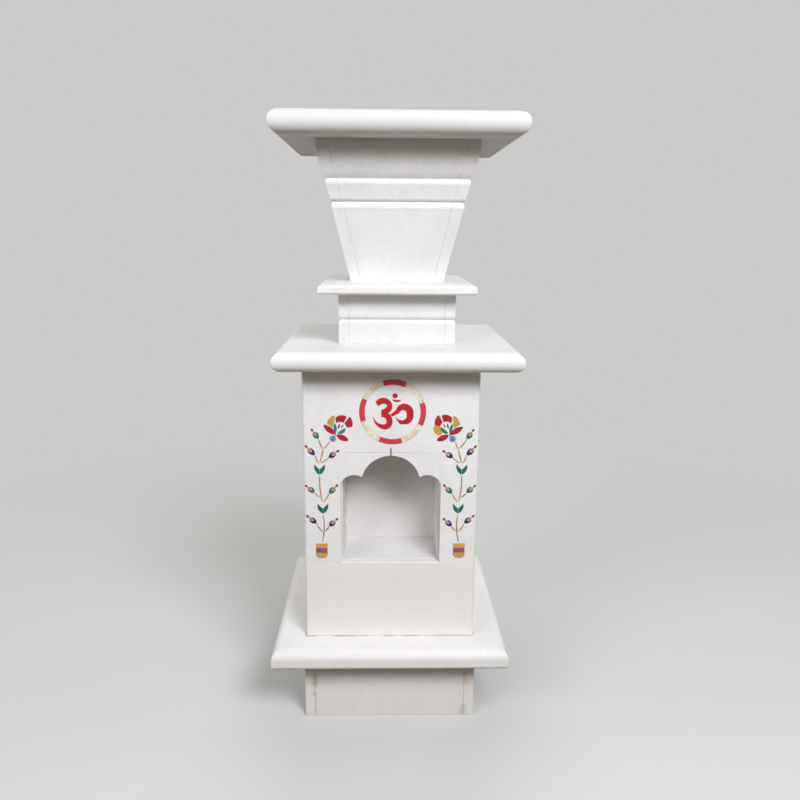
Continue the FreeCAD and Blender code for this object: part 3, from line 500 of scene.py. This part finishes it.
bevelled(panel, [edge for edge in panel.edges if is_opening_arris(edge)], OPENING_ARRIS,
         OPENING_STEPS)
front_marble = marble("front_upper_marble", (7.7, 2.6, 5.2), warmth=0.04, polish=0.28)
dressed(panel, "front_upper_eased", "front_upper", "niche_section", front_marble)

# Spandrels: two pieces glued into the opening's upper corners, which carry the cusped arch. They
# meet at its crown with an open slit, and a fine seam shows over them.
SPANDREL_ARRIS = 0.0004
SLIT_CORE, SLIT_EDGE, SLIT_SHARE = 0.0010, 0.0018, 0.95
SEAM_CORE, SEAM_EDGE, SEAM_SHARE = 0.0002, 0.0011, 0.75
slit_middle = (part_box("spandrel_left")[1].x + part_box("spandrel_right")[0].x) / 2
spandrel_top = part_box("spandrel_left")[1].z


def seam_dirt(finish):
    """Dirt in the open slit at the crown, and in stretches of the seam over it."""
    slit = abs(finish.along("X") - slit_middle).fading(SLIT_CORE, SLIT_EDGE)
    seam = abs(finish.along("Z") - spandrel_top).fading(SEAM_CORE, SEAM_EDGE)
    broken = finish.noise(finish.shifted((1.3, 0.0, 0.0)), 30.0, detail=1.0).eased(0.46, 0.54)
    return slit * SLIT_SHARE + seam * broken * SEAM_SHARE


spandrel_marble = marble("spandrel_marble", (8.3, 7.1, 0.9), warmth=0.02, polish=0.28,
                         stain_or_shade=seam_dirt)
for side in ("left", "right"):
    eased_copy("spandrel_" + side, "niche_section", spandrel_marble, SPANDREL_ARRIS)

# Niche lining: sawn and only rubbed down, so it is duller and shows an upright grain. Cream
# resin and dust sit in its corners, and painted shade darkens them.
shelf_top, wall_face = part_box("niche_floor")[1].z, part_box("niche_back")[0].y
cheek_left, cheek_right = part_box("niche_left")[1].x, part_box("niche_right")[0].x
# Brown in the lining's corners: part resin and dust, part painted shade.
GRIME_AND_SHADE_CORE, GRIME_AND_SHADE_EDGE, GRIME_AND_SHADE_SHARE, SWEPT_SHARE = 0.0005, 0.0030, 0.60, 0.6


def corner_dirt_and_shade(finish):
    """Resin and dust along the lines where two faces of the lining meet, with painted shade
    darkening them too.
    """
    grime_and_shade = finish.noise(finish.place, 45.0).eased(0.35, 0.65)
    middle, half = (cheek_left + cheek_right) / 2, (cheek_right - cheek_left) / 2
    cheek = abs(abs(finish.along("X") - middle) - half)
    wall, shelf = abs(finish.along("Y") - wall_face), abs(finish.along("Z") - shelf_top)
    cheek_wall, wall_shelf, cheek_shelf = [
        first.larger(second).fading(GRIME_AND_SHADE_CORE, GRIME_AND_SHADE_EDGE)
        for first, second in ((cheek, wall), (wall, shelf), (cheek, shelf))]
    return (cheek_wall + wall_shelf + cheek_shelf * SWEPT_SHARE) * grime_and_shade * GRIME_AND_SHADE_SHARE


lining_marble = marble("lining_marble", (3.3, 9.2, 6.1), warmth=0.55, polish=0.50, mottled=0.60,
                       dull=0.22, grain_along="Z", stain_or_shade=corner_dirt_and_shade)
shelf_marble = marble("shelf_marble", (9.1, 4.4, 2.2), warmth=0.08, polish=0.40, dull=0.15)
for part in ("left", "right", "back", "ceiling"):
    eased_copy("niche_" + part, "niche_section", lining_marble, ARRIS)
eased_copy("niche_floor", "niche_section", shelf_marble, ARRIS)

# Resin in the niche: a rough bead of cream resin, pressed by hand into the corner between the
# niche's floor and its back, and lumpy along its length.
LUMP_STEPS, LUMP_SIZE, LUMP_SUNK, LEAST_SWELL = 60, 0.0017, 0.0002, 0.25
LONG_LUMP, LONG_TURN, SHORT_LUMP, SHORT_TURN = 0.45, 1.7, 0.35, 4.3
RESIN_CREAM, RESIN_OLD = colour(0.84, 0.79, 0.70), colour(0.66, 0.57, 0.44)

resin_line = Vector((cheek_left, wall_face + LUMP_SUNK, shelf_top - LUMP_SUNK))
lump_stride = (cheek_right - cheek_left) / LUMP_STEPS
lumps = bmesh.new()
lump_spots = [lumps.verts.new(resin_line + LUMP_SIZE * Vector((0.0, back, up)))
              for back, up in ((0.0, 0.0), (-1.0, 0.0), (-0.5, 0.5), (0.0, 1.0))]
lump_ring = [lumps.edges.new(pair) for pair in zip(lump_spots, lump_spots[1:] + lump_spots[:1])]
lumps.faces.new(lump_spots)
for step in range(LUMP_STEPS):
    drawn_out = bmesh.ops.extrude_edge_only(lumps, edges=lump_ring)["geom"]
    lump_ring = [part for part in drawn_out if isinstance(part, bmesh.types.BMEdge)]
    bmesh.ops.translate(lumps, vec=(lump_stride, 0.0, 0.0),
                        verts=[part for part in drawn_out if isinstance(part, bmesh.types.BMVert)])
bmesh.ops.holes_fill(lumps, edges=lump_ring, sides=4)
for vert in lumps.verts:
    step = round((vert.co.x - cheek_left) / lump_stride)
    swell = max(LEAST_SWELL, 1.0 + LONG_LUMP * math.sin(step * LONG_TURN)
                + SHORT_LUMP * math.sin(step * SHORT_TURN + 1.0))
    if step > 0:
        vert.co.y = resin_line.y + (vert.co.y - resin_line.y) * swell
        vert.co.z = resin_line.z + (vert.co.z - resin_line.z) * swell
bmesh.ops.recalc_face_normals(lumps, faces=lumps.faces)
for face in lumps.faces:
    face.smooth = True

cream = Finish("cream_resin")
streak = cream.noise(cream.place, 70.0, roughness=0.6).eased(0.35, 0.65)
cream.set(Base_Color=cream.tinted(streak, RESIN_CREAM, RESIN_OLD), Roughness=0.45,
          Normal=cream.bumped(cream.noise(cream.place, 180.0), strength=0.5, distance=0.001))
niche_resin = placed(lumps, "niche_resin", cream.material)
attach(niche_resin, "niche_section")

# Mid slab: a thick slab with a full round nose, ground along its length. It lies dry on the body
# and carries the neck.
NOSE_BAND = 0.001
mid_low, mid_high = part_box("mid_slab")
mid_roll = (mid_high.z - mid_low.z - NOSE_BAND) / 2
mid_marble = marble("mid_slab_marble", (6.6, 5.5, 8.4), warmth=0.08, polish=0.40, ground=0.4)
rolled_slab("mid_slab", "planter_section", mid_marble, mid_roll, mid_roll)

# Neck: four panels round a hollow, with a worn groove running round them. The panels are glued
# at their corners, and only rubbed down.
neck_low, neck_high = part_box("neck_front")
pot_middle = (neck_low.x + neck_high.x) / 2
neck_reach = (neck_high.x - neck_low.x) / 2
neck_joint = (pot_middle, (neck_reach, neck_low.z), (neck_reach, neck_high.z))
neck_marble = marble("neck_marble", (1.2, 8.8, 4.9), warmth=0.02, polish=0.34, dull=0.32,
                     joint=neck_joint, resin=0.35)
for side in ("front", "back", "left", "right"):
    eased_copy("neck_" + side, "planter_section", neck_marble, ARRIS)

# Resin at the neck's foot: a bead of the same cream resin, squeezed out all round where the neck
# is glued down on the mid slab.
BEAD_OUT, BEAD_UP, BEAD_IN, BEAD_LIFT = 0.0022, 0.0016, 0.0006, 0.0001
BELLY_OUT, BELLY_UP = 0.55 * BEAD_OUT, 0.6 * BEAD_UP
neck_half = (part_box("neck_right")[1].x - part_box("neck_left")[0].x) / 2
bead_line = [Vector((pot_middle + neck_half + out, neck_half + out, neck_low.z + up))
             for out, up in ((-BEAD_IN, BEAD_LIFT), (BEAD_OUT, BEAD_LIFT),
                             (BELLY_OUT, BELLY_UP), (BEAD_LIFT, BEAD_UP),
                             (-BEAD_IN, BEAD_UP))]
bead = spun(bead_line, (pot_middle, 0, 0), SQUARE, closed=True)
neck_resin = placed(bead, "neck_resin", cream.material)
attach(neck_resin, "planter_section")

# Pot: a floor slab with bevelled edges, and four slanted panels with moulded faces that are glued
# together at their slanting edges. Handling has worn the mouldings round.
POT_WEAR = 0.0018
floor_marble = marble("pot_floor_marble", (2.1, 2.7, 9.5), warmth=0.0, polish=0.28)
eased_copy("pot_floor", "planter_section", floor_marble, ARRIS)
pot_low, pot_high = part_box("pot_front")
pot_half = (pot_high.x - pot_low.x) / 2
pot_foot_half = max(vert.co.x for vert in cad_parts["pot_front"].data.vertices
                    if vert.co.z < pot_low.z + 0.001) - pot_middle
pot_joint = (pot_middle, (pot_foot_half, pot_low.z), (pot_half, pot_high.z))
pot_marble = marble("pot_marble", (0.8, 5.9, 7.3), warmth=0.02, polish=0.36, joint=pot_joint,
                    resin=0.22)
for side in ("front", "back", "left", "right"):
    eased_copy("pot_" + side, "planter_section", pot_marble, POT_WEAR)

# Rim slab: a thick slab with a full round nose, ground along its length, with a square mouth
# over the pot. It is glued down on the pot's panels, and its underside is only sawn.
MOUTH_HALF = 0.115
# Painted shade, brown, on the rim's underside, deepest beside the pot.
UNDER_SHADE_HEIGHT, UNDER_SHADE_REACH, UNDER_SHADE_LEAST, UNDER_SHADE_SHARE = 0.008, 0.06, 0.15, 0.50
rim_low, rim_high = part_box("rim_slab")
rim_roll = (rim_high.z - rim_low.z - NOSE_BAND) / 2


def rim_painted_shade(finish):
    """Painted shade: the underside and the lower nose are browner, most of all beside the pot."""
    patches = finish.noise(finish.place, 13.0, detail=4.0).eased(0.3, 0.7, 0.35, 1.0)
    out = abs(finish.along("X") - pot_middle).larger(abs(finish.along("Y")))
    near = out.eased(pot_half, pot_half + UNDER_SHADE_REACH, 1.0, UNDER_SHADE_LEAST)
    under = finish.along("Z").fading(rim_low.z + 0.001, rim_low.z + UNDER_SHADE_HEIGHT)
    return under * patches * near * UNDER_SHADE_SHARE


rim_marble = marble("rim_slab_marble", (5.8, 0.6, 3.9), warmth=0.05, polish=0.56, dull=0.38,
                    ground=0.5, stain_or_shade=rim_painted_shade)
rolled_slab("rim_slab", "planter_section", rim_marble, rim_roll, rim_roll, MOUTH_HALF)

# Inlay: thin polished stones, each let in flush and rubbed down with the panel. Their edges are
# feathered a hair over the recess, with a dark line of setting resin round each.
# Each row gives the main colour, the deeper colour of the clouds, and the widths of the feather
# and of the line.
STONES = {
    "om_sign": (colour(0.58, 0.012, 0.022), colour(0.36, 0.010, 0.018), 0.00035, 0.0006),
    "medallion_red": (colour(0.70, 0.048, 0.080), colour(0.50, 0.022, 0.048), 0.00035, 0.0006),
    "medallion_shell": (colour(0.86, 0.82, 0.71), colour(0.55, 0.42, 0.22), 0.00035, 0.0003),
    "vases": (colour(0.70, 0.37, 0.095), colour(0.52, 0.24, 0.045), 0.00035, 0.0006),
    "vase_bands": (colour(0.35, 0.10, 0.11), colour(0.20, 0.05, 0.07), 0.00035, 0.0006),
    "stems": (colour(0.68, 0.37, 0.14), colour(0.14, 0.05, 0.03), 0.00035, 0.00015),
    "leaves": (colour(0.008, 0.17, 0.105), colour(0.003, 0.075, 0.045), 0.00012, 0.0003),
    "bud_cups_blue": (colour(0.045, 0.040, 0.21), colour(0.012, 0.012, 0.07), 0.00012, 0.0003),
    "bud_cups_green": (colour(0.012, 0.21, 0.125), colour(0.005, 0.085, 0.05), 0.00012, 0.0003),
    "bud_flames": (colour(0.76, 0.27, 0.035), colour(0.50, 0.12, 0.02), 0.00025, 0.0003),
    "bud_tips": (colour(0.36, 0.03, 0.02), colour(0.15, 0.014, 0.010), 0.0003, 0.0003),
    "petals_red": (colour(0.54, 0.012, 0.022), colour(0.33, 0.006, 0.012), 0.0007, 0.0006),
    "petals_ochre": (colour(0.62, 0.36, 0.035), colour(0.36, 0.31, 0.03), 0.0011, 0.0006),
    "sepals": (colour(0.46, 0.012, 0.040), colour(0.27, 0.006, 0.022), 0.0007, 0.0006),
    "flower_greens": (colour(0.006, 0.28, 0.17), colour(0.003, 0.12, 0.07), 0.00035, 0.0003),
    "heart_stripes": (colour(0.24, 0.006, 0.012), colour(0.11, 0.005, 0.008), 0.0007, 0.0003),
    "flower_hearts": (colour(0.86, 0.85, 0.83), colour(0.78, 0.76, 0.73), 0.00035, 0.0003),
    "flower_cups": (colour(0.13, 0.38, 0.53), colour(0.05, 0.22, 0.38), 0.00012, 0.0003),
}
RISE, RISE_STEP = 0.00003, 0.000004
CLOUD_DEPTH, PATCH_DEPTH = 0.6, 0.3
SETTING_BROWN, SETTING_SHARE, DUST_SHARE = (0.10, 0.045, 0.035), 0.65, 0.4
for number, (node, (main, deep, feather, line_width)) in enumerate(STONES.items()):
    face_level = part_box(node)[0].y
    stones = sawn(node)
    fronts = [face for face in stones.faces if face.normal.y < FRONTWARD
              and face.calc_center_median().y < face_level + 10 * TOUCHING]
    bmesh.ops.inset_region(stones, faces=fronts, use_boundary=True, use_even_offset=False,
                           depth=RISE + RISE_STEP * number, thickness=-feather)
    lines = bmesh.ops.inset_region(stones, faces=fronts, use_boundary=True,
                                   use_even_offset=False, depth=0.0,
                                   thickness=line_width)["faces"]
    for face in stones.faces:
        face.material_index = 0
    for face in lines:
        face.material_index = 1

    polished = Finish(node + "_stone")
    where = polished.shifted((0.37 * number, 0.11 * number, 0.23 * number))
    cloud = polished.noise(where, 140.0, detail=4.0, roughness=0.6, distortion=0.8)
    patch = polished.noise(where, 40.0, detail=1.0).eased(0.42, 0.60)
    depth = cloud.eased(0.35, 0.70) * CLOUD_DEPTH + patch * PATCH_DEPTH
    polished.set(Base_Color=polished.tinted(depth, main, deep), Roughness=0.25, IOR=1.54,
                 Specular_IOR_Level=0.35)
    line = Finish(node + "_line")
    dust = line.noise(line.shifted((0.2 * number, 0.0, 0.0)), 300.0, detail=2.0)
    dark = [(1 - SETTING_SHARE) * part + SETTING_SHARE * brown
            for part, brown in zip(deep, SETTING_BROWN)]
    line.set(Base_Color=line.tinted(dust.eased(0.3, 0.7) * DUST_SHARE, colour(*dark), main),
             Roughness=0.5)

    stones_set = placed(stones, node + "_set", polished.material, line.material)
    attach(stones_set, "niche_section")
    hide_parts(node)
